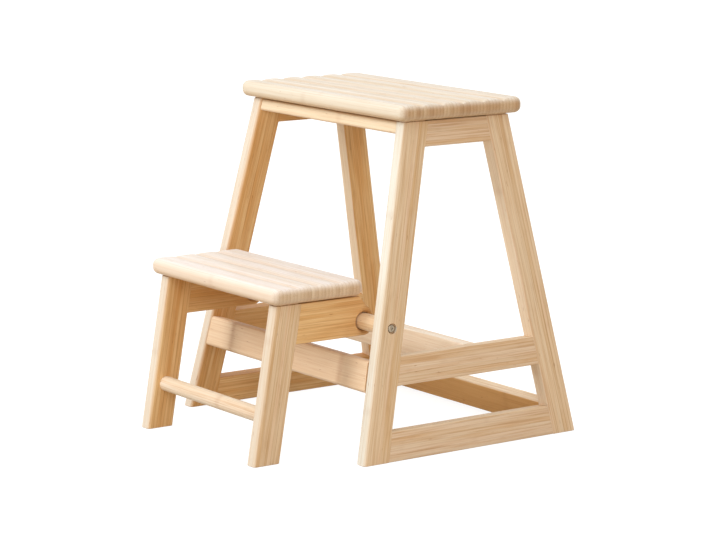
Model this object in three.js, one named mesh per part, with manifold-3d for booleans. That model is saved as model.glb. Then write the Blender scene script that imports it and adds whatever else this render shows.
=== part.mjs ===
// A folding step stool chair of laminated bamboo, in millimetres.
// X runs across the stool, Y from the step to the back, Z is up. The stool stands on z = 0,
// and x = 0, y = 0 is the middle of the ground it covers with its step folded out.
import * as THREE from "three";
import { mergeVertices } from "three/addons/utils/BufferGeometryUtils.js";
import Module from "manifold-3d";

// Overall sizes
const totalHeight = 450;
const overallDepth = 467;
const stepReach = 116;
const frameFootWidth = 424;
const frameTopWidth = 341;
const frameTopDepth = 171;

// Boards and joints
const boardThickness = 19;
const legWidth = 38;
const legFaceRadius = 5;
const edgeRadius = 1.5;
const jointGap = 0.3;
const pinDiameter = 8;
const pinLength = 30;
const pinClearance = 0.2;
const pinInset = 11;
const pinCrossing = 11;

// Rails of the two side panels
const topSideRailWidth = 35;
const midSideRailWidth = 38;
const midSideRailHeight = 96;
const bottomSideRailWidth = 39;

// Rails across the stool: a height is that of the middle of a rail's lower edge, and the front
// rail's drop is how far that edge lies below the step's pivot
const topCrossRailWidth = 20;
const topCrossRailSetback = 3;
const frontCrossRailWidth = 41;
const frontCrossRailDrop = 83;
const frontCrossRailSetback = 1;
const middleCrossRailWidth = 36;
const middleCrossRailBehind = 16;
const rearCrossRailWidth = 37;
const rearCrossRailHeight = 6;
const crossPinSink = 11;

// Treads
const treadThickness = 21;
const treadEdgeRadius = 9;
const treadCornerRadius = 12;
const treadEdgeLimitShare = 0.45;
const treadPinSink = 10;
const topTreadOverhang = 14;
const topTreadPinSpacing = 50;
const ribPitch = 33;
const grooveDepth = 3;

// The folding step
const stepHeight = 226;
const stepWidth = 272;
const stepLegSetback = 34;
const stepTreadOverhang = 11;
const stepTreadDepth = 141;
const stepTreadPinSpacing = 44;
const stepRailWidth = 54;
const stepRailShoulder = 8;
const stepRailNoseWall = 7;
const rungDiameter = 20;
const rungHeight = 59;
const rungTenon = 10;

// The pivot of the step
const dowelDiameter = 22;
const dowelClearance = 0.3;
const dowelRimChamfer = 1;
const dowelEndGap = 0.5;
const screwHeadDiameter = 11.5;
const screwHeadHeight = 3;
const screwHeadCrown = 1;
const screwDiameter = 6;
const screwLength = 28;
const screwClearance = 0.3;
const screwCrossLength = 6;
const screwCrossWidth = 1.4;
const screwCrossDepth = 1.8;
const screwHeadRoom = 1;
const counterboreDepth = 4;
const insertDiameter = 10;
const insertLength = 13;

// How far each cutting block runs past what it cuts
const reach = 60;

// How finely round shapes are divided
const edgeSteps = 1;
const faceSteps = 2;
const treadCornerSteps = 3;
const treadEdgeSteps = 5;
const noseSteps = 5;
const ribSteps = 5;
const ribCrownPower = 4;
const pinSides = 8;
const rungSides = 24;
const dowelSides = 32;
const screwSides = 20;

// Sizes that follow
const frameHeight = totalHeight - treadThickness;
const frameFootDepth = overallDepth - stepReach;
const frameCentre = stepReach / 2;
const stepFrameHeight = stepHeight - treadThickness;
const stepRailLow = stepFrameHeight - stepRailWidth;
const stepRailNose = dowelDiameter / 2 + stepRailNoseWall;
const pivotHeight = stepRailLow + stepRailNose;
const frontCrossRailHeight = pivotHeight - frontCrossRailDrop;
const splayRise = (frameFootWidth - frameTopWidth) / 2;
const splay = Math.atan(splayRise / frameHeight);
const leanRise = (frameFootDepth - frameTopDepth) / 2;
const leanAcross = Math.atan(leanRise / frameHeight);
const panelHeight = frameHeight / Math.cos(splay);
const lean = Math.atan(leanRise / panelHeight);
const stepLean = Math.atan(stepLegSetback / stepFrameHeight);
const sides = { left: -1, right: 1 };

const wasm = await Module();
wasm.setup();

const stool = new THREE.Group();
const frame = new THREE.Group();
const step = new THREE.Group();
stool.add(frame, step);
const pieces = {};

// The finishes: satin bamboo, from the pale treads to the darker rails, and dull steel
const satin = 0.55;
const finishes = {
  tread: { color: 0xf0dcbc, roughness: satin, metalness: 0 },
  leg: { color: 0xe6c79c, roughness: satin, metalness: 0 },
  rail: { color: 0xdfba8a, roughness: satin, metalness: 0 },
  rod: { color: 0xecd0a6, roughness: satin, metalness: 0 },
  pin: { color: 0xd8b184, roughness: satin, metalness: 0 },
  steel: { color: 0x9a968f, roughness: 0.35, metalness: 1 },
};

function addPiece(parent, name, geometry, finish) {
  const mesh = new THREE.Mesh(geometry, new THREE.MeshStandardMaterial(finishes[finish]));
  mesh.name = name;
  parent.add(mesh);
  pieces[name] = mesh;
  return mesh;
}

// A piece as a solid, where it stands in the stool
function solidOf(mesh) {
  mesh.updateWorldMatrix(true, false);
  const geometry = mesh.geometry.clone();
  geometry.deleteAttribute("normal");
  geometry.deleteAttribute("uv");
  geometry.applyMatrix4(mesh.matrixWorld);
  const merged = mergeVertices(geometry);
  const vertProperties = new Float32Array(merged.getAttribute("position").array);
  const triVerts = new Uint32Array(merged.getIndex().array);
  return new wasm.Manifold(new wasm.Mesh({ numProp: 3, vertProperties, triVerts }));
}

// Puts a solid back into the mesh that it came from
function setSolid(mesh, solid) {
  const made = solid.getMesh();
  const geometry = new THREE.BufferGeometry();
  geometry.setAttribute("position", new THREE.BufferAttribute(made.vertProperties, 3));
  geometry.setIndex(new THREE.BufferAttribute(made.triVerts, 1));
  geometry.applyMatrix4(mesh.matrixWorld.clone().invert());
  mesh.geometry = geometry.toNonIndexed();
  mesh.geometry.computeVertexNormals();
}

function cutAway(mesh, ...tools) {
  let solid = solidOf(mesh);
  for (const tool of tools) {
    solid = solid.subtract(solidOf(tool));
  }
  setSolid(mesh, solid);
}

function keepInside(mesh, tool) {
  setSolid(mesh, solidOf(mesh).intersect(solidOf(tool)));
}

// A cutting tool: a mesh that takes its place in a group without being shown
function toolAt(group, geometry, position = new THREE.Vector3()) {
  const tool = new THREE.Mesh(geometry);
  tool.position.copy(position);
  tool.updateMatrix();
  group.updateWorldMatrix(true, false);
  tool.applyMatrix4(group.matrixWorld);
  return tool;
}

function blockGeometry(low, high) {
  const size = new THREE.Vector3().subVectors(high, low);
  const centre = new THREE.Vector3().addVectors(low, high).multiplyScalar(0.5);
  return new THREE.BoxGeometry(size.x, size.y, size.z).translate(centre.x, centre.y, centre.z);
}

// The end of a board: its thickness in x about 0, its width in y from 0.
// The two edges at y = 0 and the two at y = width each have a radius of their own.
function boardSection(width, lowRadius, highRadius) {
  const half = boardThickness / 2;
  const section = new THREE.Shape();
  section.absarc(half - lowRadius, lowRadius, lowRadius, -Math.PI / 2, 0);
  section.absarc(half - highRadius, width - highRadius, highRadius, 0, Math.PI / 2);
  section.absarc(highRadius - half, width - highRadius, highRadius, Math.PI / 2, Math.PI);
  section.absarc(lowRadius - half, lowRadius, lowRadius, Math.PI, 1.5 * Math.PI);
  section.closePath();
  return section;
}

function boardGeometry(length, width, lowRadius = edgeRadius, highRadius = edgeRadius) {
  const section = boardSection(width, lowRadius, highRadius);
  const curveSegments = Math.max(lowRadius, highRadius) > edgeRadius ? faceSteps : edgeSteps;
  return new THREE.ExtrudeGeometry(section, { depth: length, bevelEnabled: false, curveSegments });
}

// A board that runs along Y, as high as it is wide, about y = 0
function boardAlongY(length, width) {
  return boardGeometry(length, width).translate(0, 0, -length / 2).rotateX(Math.PI / 2);
}

// Turns a shape's x and y into Y and Z, and its depth into X
const ontoX = new THREE.Matrix4().makeBasis(
  new THREE.Vector3(0, 1, 0),
  new THREE.Vector3(0, 0, 1),
  new THREE.Vector3(1, 0, 0),
);

// A board that runs along X, about x = 0
function boardAlongX(length, width) {
  return boardGeometry(length, width).translate(0, 0, -length / 2).applyMatrix4(ontoX);
}

// A leg with its foot at the origin. Its rounded face looks to -Y at y = 0, and it runs past both ends.
function legGeometry(length) {
  return boardGeometry(length + 2 * reach, legWidth, legFaceRadius, edgeRadius).translate(0, 0, -reach);
}

// All that lies on the face side of a leg's inner edge, and a joint's gap more
function legBlock(length) {
  const low = new THREE.Vector3(-boardThickness, -frameFootDepth, -reach);
  const high = new THREE.Vector3(boardThickness, legWidth + jointGap, length + reach);
  return blockGeometry(low, high);
}

// What lies between two heights, and the ground
const wide = frameFootWidth + reach;
const deep = overallDepth + reach;
function layer(low, high) {
  const block = blockGeometry(new THREE.Vector3(-wide, -deep, low), new THREE.Vector3(wide, deep, high));
  return toolAt(stool, block);
}
const ground = layer(-2 * reach, 0);

// A hidden dowel pin that holds two pieces, and its hole in each.
// Direction is the group's own axis that it lies along, and place is its middle.
function addPin(group, name, direction, place, ...joined) {
  const turn = new THREE.Quaternion().setFromUnitVectors(new THREE.Vector3(0, 1, 0), direction);
  const radius = pinDiameter / 2;
  const geometry = new THREE.CylinderGeometry(radius, radius, pinLength, pinSides).applyQuaternion(turn);
  addPiece(group, name, geometry, "pin").position.copy(place);
  const holeRadius = radius + pinClearance;
  const holeLength = pinLength + 2 * pinClearance;
  const hole = new THREE.CylinderGeometry(holeRadius, holeRadius, holeLength, pinSides).applyQuaternion(turn);
  const tool = toolAt(group, hole, place);
  for (const mesh of joined) {
    cutAway(mesh, tool);
  }
}

const alongX = new THREE.Vector3(1, 0, 0);
const alongY = new THREE.Vector3(0, 1, 0);
const alongZ = new THREE.Vector3(0, 0, 1);

// A side panel stands in its own group: x = 0 is its outer face, y = 0 its middle, z = 0 the ground.
// The group leans in by the splay, so a height in it is a height along the panel.
const panels = {};
for (const [name, side] of Object.entries(sides)) {
  const panel = new THREE.Group();
  panel.position.set((side * frameFootWidth) / 2, frameCentre, 0);
  panel.rotation.y = -side * splay;
  frame.add(panel);
  panels[name] = panel;
}

const panelLegLength = panelHeight / Math.cos(lean);
const panelLegDepth = legWidth / Math.cos(lean);
const aboveFrame = layer(frameHeight - jointGap, totalHeight + reach);

// How far a leg's inner edge stands from the panel's middle at a height
function innerEdge(height) {
  return frameFootDepth / 2 - height * Math.tan(lean) - panelLegDepth;
}

// All that lies outside a panel's inner face, and a joint's gap more
function outsideOf(name) {
  const half = new THREE.Vector3(wide, deep, deep);
  const block = blockGeometry(half.clone().negate(), half);
  const middle = sides[name] * (wide - boardThickness - jointGap);
  return toolAt(panels[name], block, new THREE.Vector3(middle, 0, 0));
}

// The legs of a panel: the front one's round face looks forward, the rear one's back
const legEnds = { front: -1, rear: 1 };
function addPanelLegs(name) {
  const blocks = [];
  for (const [endName, end] of Object.entries(legEnds)) {
    const turned = end > 0 ? Math.PI : 0;
    const board = legGeometry(panelLegLength).rotateZ(turned);
    const leg = addPiece(panels[name], endName + "_leg_" + name, board, "leg");
    leg.position.set((-sides[name] * boardThickness) / 2, (end * frameFootDepth) / 2, 0);
    leg.rotation.x = end * lean;
    blocks.push(toolAt(leg, legBlock(panelLegLength).rotateZ(turned)));
    cutAway(leg, ground, aboveFrame);
  }
  return blocks;
}

// A rail between the two legs of a panel
function addPanelRail(name, railName, low, high, pinHeight, legBlocks) {
  const middle = (-sides[name] * boardThickness) / 2;
  const board = boardAlongY(frameFootDepth, high - low);
  const rail = addPiece(panels[name], railName + "_side_rail_" + name, board, "rail");
  rail.position.set(middle, 0, low);
  cutAway(rail, ground, aboveFrame, ...legBlocks);
  for (const [endName, end] of Object.entries(legEnds)) {
    const place = new THREE.Vector3(middle, end * innerEdge(pinHeight), pinHeight);
    const leg = pieces[endName + "_leg_" + name];
    addPin(panels[name], "pin_" + railName + "_rail_" + endName + "_" + name, alongY, place, rail, leg);
  }
}

const midSideRailTop = midSideRailHeight + midSideRailWidth;
const midSideRailMiddle = midSideRailHeight + midSideRailWidth / 2;
const topSideRailHeight = panelHeight - topSideRailWidth;
const bottomRailPin = bottomSideRailWidth - pinInset;
for (const name of Object.keys(sides)) {
  const blocks = addPanelLegs(name);
  addPanelRail(name, "bottom", -reach, bottomSideRailWidth, bottomRailPin, blocks);
  addPanelRail(name, "mid", midSideRailHeight, midSideRailTop, midSideRailMiddle, blocks);
  addPanelRail(name, "top", topSideRailHeight, panelHeight + reach, topSideRailHeight + pinInset, blocks);
}

// Rails across the stool lie in a group that leans with the legs they join, with y = 0 on the legs' face
const frontPlane = new THREE.Group();
frontPlane.position.y = frameCentre - frameFootDepth / 2;
frontPlane.rotation.x = -leanAcross;
const rearPlane = new THREE.Group();
rearPlane.position.y = frameCentre + frameFootDepth / 2;
rearPlane.rotation.x = leanAcross;
const middlePlane = new THREE.Group();
middlePlane.position.y = frameCentre;
frame.add(frontPlane, rearPlane, middlePlane);

// Half the room between the panels at a height above the ground
function halfRoom(height) {
  return frameFootWidth / 2 - height * Math.tan(splay) - boardThickness / Math.cos(splay);
}

// A rail across the stool. Depth is the place of its middle in the plane's own y, and the heights
// are those of the rail's lower edge and of its pins above the ground.
function addCrossRail(plane, name, depth, low, width, pinHeight, joined) {
  const tilt = plane.rotation.x;
  const placeAt = (x, height) => {
    return new THREE.Vector3(x, depth, height / Math.cos(tilt) - depth * Math.tan(tilt));
  };
  const rail = addPiece(plane, name, boardAlongX(frameFootWidth, width), "rail");
  rail.position.copy(placeAt(0, low));
  cutAway(rail, outsideOf("left"), outsideOf("right"), aboveFrame);
  for (const [sideName, side] of Object.entries(sides)) {
    const inset = halfRoom(pinHeight) + crossPinSink - pinLength / 2;
    const place = placeAt(side * inset, pinHeight);
    addPin(plane, "pin_" + name + "_" + sideName, alongX, place, rail, pieces[joined + sideName]);
  }
}

const topRailDepth = topCrossRailSetback + boardThickness / 2;
const topRailLow = frameHeight - topCrossRailWidth;
const topRailPin = frameHeight - topCrossRailWidth / 2;
const topRailBoard = topCrossRailWidth + reach;
addCrossRail(frontPlane, "front_top_rail", topRailDepth, topRailLow, topRailBoard, topRailPin, "front_leg_");
addCrossRail(rearPlane, "rear_top_rail", -topRailDepth, topRailLow, topRailBoard, topRailPin, "rear_leg_");

const frontRailDepth = frontCrossRailSetback + boardThickness / 2;
const frontRailLow = frontCrossRailHeight;
const frontRailPin = frontRailLow + (frontCrossRailWidth / 2) * Math.cos(leanAcross);
addCrossRail(
  frontPlane,
  "front_cross_rail",
  frontRailDepth,
  frontRailLow,
  frontCrossRailWidth,
  frontRailPin,
  "front_leg_",
);

// The rear rail's pins pass under those of the bottom side rails
const rearRailDepth = legWidth - boardThickness / 2;
const rearRailLow = rearCrossRailHeight;
const rearRailPin = bottomRailPin - pinCrossing;
addCrossRail(
  rearPlane,
  "rear_cross_rail",
  -rearRailDepth,
  rearRailLow,
  rearCrossRailWidth,
  rearRailPin,
  "rear_leg_",
);

const middleRailLow = midSideRailHeight * Math.cos(splay);
const middleRailPin = middleRailLow + middleCrossRailWidth / 2;
addCrossRail(
  middlePlane,
  "middle_cross_rail",
  middleCrossRailBehind,
  middleRailLow,
  middleCrossRailWidth,
  middleRailPin,
  "mid_side_rail_",
);

// The grooved top of a tread, as seen from its end: x runs across the grooves, y up
function treadSection(depth) {
  const ribs = Math.round(depth / ribPitch);
  const section = new THREE.Shape();
  section.moveTo(-depth, 0);
  section.lineTo(depth, 0);
  section.lineTo(depth, treadThickness);
  for (let groove = ribs - 1; groove > 0; groove -= 1) {
    const centre = (groove - ribs / 2) * ribPitch;
    for (let at = ribSteps; at >= -ribSteps; at -= 1) {
      if (at === -ribSteps && groove > 1) continue;
      const share = Math.abs(at) / ribSteps;
      const away = Math.sign(at) * share * share * (ribPitch / 2);
      const drop = grooveDepth * (1 - share * share) ** ribCrownPower;
      section.lineTo(centre + away, treadThickness - drop);
    }
  }
  section.lineTo(-depth, treadThickness);
  section.closePath();
  return section;
}

// A plain board with rounded corners and rounded edges all round
function roundedSlab(length, depth) {
  const edge = Math.min(treadEdgeRadius, treadThickness * treadEdgeLimitShare);
  const x = length / 2 - treadCornerRadius;
  const y = depth / 2 - treadCornerRadius;
  const plan = new THREE.Shape();
  plan.absarc(x, y, treadCornerRadius, 0, Math.PI / 2);
  plan.absarc(-x, y, treadCornerRadius, Math.PI / 2, Math.PI);
  plan.absarc(-x, -y, treadCornerRadius, Math.PI, 1.5 * Math.PI);
  plan.absarc(x, -y, treadCornerRadius, 1.5 * Math.PI, 2 * Math.PI);
  plan.closePath();
  return new THREE.ExtrudeGeometry(plan, {
    depth: treadThickness - 2 * edge,
    curveSegments: treadCornerSteps,
    bevelThickness: edge,
    bevelSize: edge,
    bevelOffset: -edge,
    bevelSegments: treadEdgeSteps,
  }).translate(0, 0, edge);
}

// A tread: the grooved bar, kept inside the rounded slab
function addTread(parent, name, length, depth, place) {
  const bar = new THREE.ExtrudeGeometry(treadSection(depth), { depth: length + reach, bevelEnabled: false });
  bar.translate(0, 0, -(length + reach) / 2).applyMatrix4(ontoX);
  const tread = addPiece(parent, name, bar, "tread");
  tread.position.copy(place);
  keepInside(tread, toolAt(tread, roundedSlab(length, depth)));
  return tread;
}

const topTreadLength = frameTopWidth + 2 * topTreadOverhang;
const topTreadDepth = frameTopDepth + 2 * topTreadOverhang;
const topTreadPlace = new THREE.Vector3(0, frameCentre, frameHeight);
const topTread = addTread(frame, "top_tread", topTreadLength, topTreadDepth, topTreadPlace);

// Upright pins hold the upper tread on its two side rails
for (const [name, side] of Object.entries(sides)) {
  const height = frameHeight + treadPinSink - pinLength / 2;
  const inset = halfRoom(height) + boardThickness / 2 / Math.cos(splay);
  for (const [endName, end] of Object.entries(legEnds)) {
    const place = new THREE.Vector3(side * inset, frameCentre + (end * topTreadPinSpacing) / 2, height);
    const pinName = "pin_top_tread_" + endName + "_" + name;
    addPin(frame, pinName, alongZ, place, topTread, pieces["top_side_rail_" + name]);
  }
}

// The step's legs, with their round faces forward
const stepLegLength = stepFrameHeight / Math.cos(stepLean);
const stepLegDepth = legWidth / Math.cos(stepLean);
const stepFront = -overallDepth / 2;
const aboveStepFrame = layer(stepFrameHeight - jointGap, stepHeight + reach);
const stepLegBlocks = {};
for (const [name, side] of Object.entries(sides)) {
  const leg = addPiece(step, "step_leg_" + name, legGeometry(stepLegLength), "leg");
  leg.position.set((side * (stepWidth - boardThickness)) / 2, stepFront, 0);
  leg.rotation.x = -stepLean;
  stepLegBlocks[name] = toolAt(leg, legBlock(stepLegLength));
  cutAway(leg, ground, aboveStepFrame);
}

// The y of the middle of a step leg at a height, and of the front edge of the step's tread
function stepLegMiddle(height) {
  return stepFront + height * Math.tan(stepLean) + stepLegDepth / 2;
}
const stepTreadFront = stepFront + stepLegSetback - stepTreadOverhang;

// The pivot lies in the middle of the front legs' width
const pivotY = frameCentre - frameFootDepth / 2 + pivotHeight * Math.tan(leanAcross) + panelLegDepth / 2;

// A side rail of the step: level below and above, round about the pivot, and sloped from its
// shoulder to the round
function stepRailOutline() {
  const rise = stepFrameHeight - pivotHeight;
  const shoulder = Math.hypot(stepRailShoulder, rise);
  const slopeAngle = Math.asin(stepRailNose / shoulder) + Math.atan(stepRailShoulder / rise);
  const outline = new THREE.Shape();
  outline.moveTo(stepFront, stepRailLow);
  outline.lineTo(pivotY, stepRailLow);
  outline.absarc(pivotY, pivotHeight, stepRailNose, -Math.PI / 2, slopeAngle);
  outline.lineTo(pivotY - stepRailShoulder, stepFrameHeight);
  outline.lineTo(stepFront, stepFrameHeight);
  outline.closePath();
  return outline;
}

// A round bar along X between two places
function rodGeometry(radius, from, to, rodSides) {
  const bar = new THREE.CylinderGeometry(radius, radius, to - from, rodSides);
  return bar.rotateZ(-Math.PI / 2).translate((from + to) / 2, 0, 0);
}

// A cone along X, for the eased rim of a hole: the small radius at the first place
function rimGeometry(smallRadius, largeRadius, from, to, rodSides) {
  const high = to > from ? largeRadius : smallRadius;
  const low = to > from ? smallRadius : largeRadius;
  const cone = new THREE.CylinderGeometry(high, low, Math.abs(to - from), rodSides);
  return cone.rotateZ(-Math.PI / 2).translate((from + to) / 2, 0, 0);
}

const dowelRadius = dowelDiameter / 2;
const dowelHole = dowelRadius + dowelClearance;
const pivotPlace = new THREE.Vector3(0, pivotY, pivotHeight);

// A step side rail about x = 0, with its edges eased by a bevel
function stepRailGeometry() {
  const board = new THREE.ExtrudeGeometry(stepRailOutline(), {
    depth: boardThickness - 2 * edgeRadius,
    curveSegments: noseSteps,
    bevelThickness: edgeRadius,
    bevelSize: edgeRadius,
    bevelOffset: -edgeRadius,
    bevelSegments: edgeSteps,
  });
  return board.translate(0, 0, edgeRadius - boardThickness / 2).applyMatrix4(ontoX);
}

// The hole for the dowel through a board about x = 0, with an eased rim on each face
function dowelHoleTools(group, place) {
  const half = boardThickness / 2;
  const bore = rodGeometry(dowelHole, -half - reach, half + reach, dowelSides);
  const rims = Object.values(sides).map((side) => {
    const deepEnd = side * (half - 2 * dowelRimChamfer);
    const openEnd = side * (half + dowelRimChamfer);
    const small = dowelHole - dowelRimChamfer;
    const large = dowelHole + 2 * dowelRimChamfer;
    return rimGeometry(small, large, deepEnd, openEnd, dowelSides);
  });
  return [bore, ...rims].map((geometry) => toolAt(group, geometry, place));
}

const stepSideMiddle = (stepWidth - boardThickness) / 2;
for (const [name, side] of Object.entries(sides)) {
  const rail = addPiece(step, "step_side_rail_" + name, stepRailGeometry(), "rail");
  rail.position.x = side * stepSideMiddle;
  const holes = dowelHoleTools(step, new THREE.Vector3(side * stepSideMiddle, pivotY, pivotHeight));
  cutAway(rail, aboveStepFrame, stepLegBlocks[name], ...holes);
}

// Pins between the step's side rails and its legs, at the middle of the joint
for (const [name, side] of Object.entries(sides)) {
  const height = stepFrameHeight - stepRailWidth / 2;
  const place = new THREE.Vector3(side * stepSideMiddle, stepLegMiddle(height) + stepLegDepth / 2, height);
  const joined = [pieces["step_side_rail_" + name], pieces["step_leg_" + name]];
  addPin(step, "pin_step_rail_" + name, alongY, place, ...joined);
}

const stepTreadLength = stepWidth + 2 * stepTreadOverhang;
const stepTreadPlace = new THREE.Vector3(0, stepTreadFront + stepTreadDepth / 2, stepFrameHeight);
const stepTread = addTread(step, "step_tread", stepTreadLength, stepTreadDepth, stepTreadPlace);

// Upright pins hold the step's tread on its two side rails, behind the legs
const stepRailFront = stepLegMiddle(stepFrameHeight) + stepLegDepth / 2;
const stepPinMiddle = (stepRailFront + pivotY - stepRailShoulder) / 2;
for (const [name, side] of Object.entries(sides)) {
  const height = stepFrameHeight + treadPinSink - pinLength / 2;
  for (const [endName, end] of Object.entries(legEnds)) {
    const depth = stepPinMiddle + (end * stepTreadPinSpacing) / 2;
    const place = new THREE.Vector3(side * stepSideMiddle, depth, height);
    const pinName = "pin_step_tread_" + endName + "_" + name;
    addPin(step, pinName, alongZ, place, stepTread, pieces["step_side_rail_" + name]);
  }
}

// The rung between the step's legs stands in a blind hole in each
const rungEnd = stepWidth / 2 - boardThickness + rungTenon;
const rungPlace = new THREE.Vector3(0, stepLegMiddle(rungHeight), rungHeight);
const rungRadius = rungDiameter / 2;
const rung = addPiece(step, "step_rung", rodGeometry(rungRadius, -rungEnd, rungEnd, rungSides), "rod");
rung.position.copy(rungPlace);
const rungHoleEnd = rungEnd + pinClearance;
const rungHole = rodGeometry(rungRadius + pinClearance, -rungHoleEnd, rungHoleEnd, rungSides);
for (const name of Object.keys(sides)) {
  cutAway(pieces["step_leg_" + name], toolAt(step, rungHole, rungPlace));
}

// The dowel that the step turns with ends just short of the front legs, which lean in above it
const dowelEnd = halfRoom(pivotHeight + dowelRadius) - dowelEndGap;
const dowelRod = rodGeometry(dowelRadius, -dowelEnd, dowelEnd, dowelSides);
const dowel = addPiece(step, "pivot_dowel", dowelRod, "rod");
dowel.position.copy(pivotPlace);

// A pan head screw with a cross recess, along X with its tip towards -X and the head's seat at x = 0
function screwGeometry() {
  const headRadius = screwHeadDiameter / 2;
  const shank = screwDiameter / 2;
  const crown = Array.from({ length: faceSteps + 1 }, (_, index) => {
    const angle = (index / (faceSteps + 1)) * (Math.PI / 2);
    const height = screwHeadHeight - screwHeadCrown + screwHeadCrown * Math.sin(angle);
    return new THREE.Vector2(headRadius * Math.cos(angle), height);
  });
  const profile = [
    new THREE.Vector2(0, -screwLength),
    new THREE.Vector2(shank, -screwLength),
    new THREE.Vector2(shank, 0),
    new THREE.Vector2(headRadius, 0),
    ...crown,
    new THREE.Vector2(0, screwHeadHeight),
  ];
  return new THREE.LatheGeometry(profile, screwSides).rotateZ(-Math.PI / 2);
}

// The cross recess: two crossed bars that run out of the head
function crossBar(turned) {
  const deepEnd = screwHeadHeight - screwCrossDepth;
  const low = new THREE.Vector3(deepEnd, -screwCrossLength / 2, -screwCrossWidth / 2);
  const high = new THREE.Vector3(screwHeadHeight + reach, screwCrossLength / 2, screwCrossWidth / 2);
  return blockGeometry(low, high).rotateX(turned);
}

// A round bar along X from an inner to an outer place on one side, or on the other
function sideRod(side, radius, inner, outer, rodSides) {
  const ends = [side * inner, side * outer];
  return rodGeometry(radius, Math.min(...ends), Math.max(...ends), rodSides);
}

const screwSeat = frameFootWidth / 2 - pivotHeight * Math.tan(splay) - counterboreDepth;
const counterboreRadius = screwHeadDiameter / 2 + screwHeadRoom;
const passageRadius = screwDiameter / 2 + screwClearance;
const passageEnd = screwSeat - screwLength - screwClearance;
const insertRadius = insertDiameter / 2;
const insertOuter = dowelEnd - pinClearance;
const insertInner = insertOuter - insertLength;
for (const [name, side] of Object.entries(sides)) {
  const screw = addPiece(step, "pivot_screw_" + name, screwGeometry(), "steel");
  screw.position.set(side * (screwSeat + pinClearance), pivotY, pivotHeight);
  screw.rotation.z = side > 0 ? 0 : Math.PI;
  cutAway(screw, toolAt(screw, crossBar(0)), toolAt(screw, crossBar(Math.PI / 2)));

  const passageRod = sideRod(side, passageRadius, passageEnd, screwSeat + reach, screwSides);
  const passage = toolAt(step, passageRod, pivotPlace);
  const seatRod = sideRod(side, counterboreRadius, screwSeat, screwSeat + reach, screwSides);
  cutAway(pieces["front_leg_" + name], passage, toolAt(step, seatRod, pivotPlace));

  // The threaded insert sits in the dowel's end, just below its face
  const insertRod = sideRod(side, insertRadius, insertInner, insertOuter, screwSides);
  const insert = addPiece(step, "pivot_insert_" + name, insertRod, "steel");
  insert.position.copy(pivotPlace);
  cutAway(insert, passage);
  const holeInner = insertInner - pinClearance;
  const insertHole = sideRod(side, insertRadius + pinClearance, holeInner, dowelEnd + reach, screwSides);
  cutAway(dowel, passage, toolAt(step, insertHole, pivotPlace));
}

export default stool;
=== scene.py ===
# %% [markdown]
# A folding step stool chair in laminated bamboo.
# The stool is a set of planed boards that are glued together, with a lower step that swings
# on a round bar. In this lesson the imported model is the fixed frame: it says where every board
# is. Blender then makes each visible board again with finely rounded edges, and gives it the
# grain of bamboo, because that is what the eye reads first on a plain wooden object.

# %% Load the frame
import math

import bmesh
import bpy
from mathutils import Matrix, Vector


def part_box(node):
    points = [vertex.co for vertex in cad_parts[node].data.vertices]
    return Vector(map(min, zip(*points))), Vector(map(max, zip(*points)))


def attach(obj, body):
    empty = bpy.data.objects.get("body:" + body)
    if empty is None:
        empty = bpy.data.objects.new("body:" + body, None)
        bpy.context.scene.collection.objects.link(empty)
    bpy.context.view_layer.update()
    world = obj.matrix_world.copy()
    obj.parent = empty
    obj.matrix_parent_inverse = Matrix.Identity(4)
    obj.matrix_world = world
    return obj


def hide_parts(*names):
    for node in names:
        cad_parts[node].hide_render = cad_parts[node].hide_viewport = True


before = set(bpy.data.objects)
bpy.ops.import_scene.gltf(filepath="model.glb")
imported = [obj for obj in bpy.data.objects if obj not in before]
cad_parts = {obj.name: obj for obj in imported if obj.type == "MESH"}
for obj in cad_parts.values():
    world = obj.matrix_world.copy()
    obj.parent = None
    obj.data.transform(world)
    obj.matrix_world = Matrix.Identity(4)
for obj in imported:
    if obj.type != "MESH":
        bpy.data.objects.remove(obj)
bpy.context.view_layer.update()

# %% [markdown]
# The stool's sizes follow from a few that could be read off it with a tape: its footprint, the
# board that it is cut from and where its rails lie. They are written once, in metres, as so many
# millimetres, and the boxes of the frame's own pieces give the others.

# %% Sizes of the stool
mm = 0.001
front_leg_low, front_leg_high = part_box("front_leg_right")
_, rear_leg_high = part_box("rear_leg_right")
top_tread_low, top_tread_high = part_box("top_tread")
step_tread_low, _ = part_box("step_tread")
step_leg_low, step_leg_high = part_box("step_leg_right")

board_thickness = 19 * mm
half_thickness = board_thickness / 2
leg_width = 38 * mm
frame_foot_width = 2 * front_leg_high.x
frame_top_width = 341 * mm
frame_foot_depth = rear_leg_high.y - front_leg_low.y
frame_top_depth = 171 * mm
frame_height = top_tread_low.z
frame_centre = (top_tread_low.y + top_tread_high.y) / 2
step_height = step_tread_low.z
step_front = step_leg_low.y
step_width = 2 * step_leg_high.x
step_leg_setback = 34 * mm

splay = math.atan((frame_foot_width - frame_top_width) / 2 / frame_height)
lean_across = math.atan((frame_foot_depth - frame_top_depth) / 2 / frame_height)
panel_height = frame_height / math.cos(splay)
lean = math.atan((frame_foot_depth - frame_top_depth) / 2 / panel_height)
step_lean = math.atan(step_leg_setback / step_height)
sides = {"left": -1, "right": 1}
ends = {"front": -1, "rear": 1}
up = Vector((0, 0, 1))
right = Vector((1, 0, 0))
back = Vector((0, 1, 0))
print("seat height in mm:", round(top_tread_high.z / mm, 1))
print("splay and lean in degrees:", round(math.degrees(splay), 2), round(math.degrees(lean_across), 2))

# %% [markdown]
# The camera comes before the making, so that each render can be laid beside the photograph.
# A long lens from three and a half metres gives the photograph's calm perspective. Its place is
# written as an azimuth round the stool and an elevation, with a trace of roll.

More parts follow.
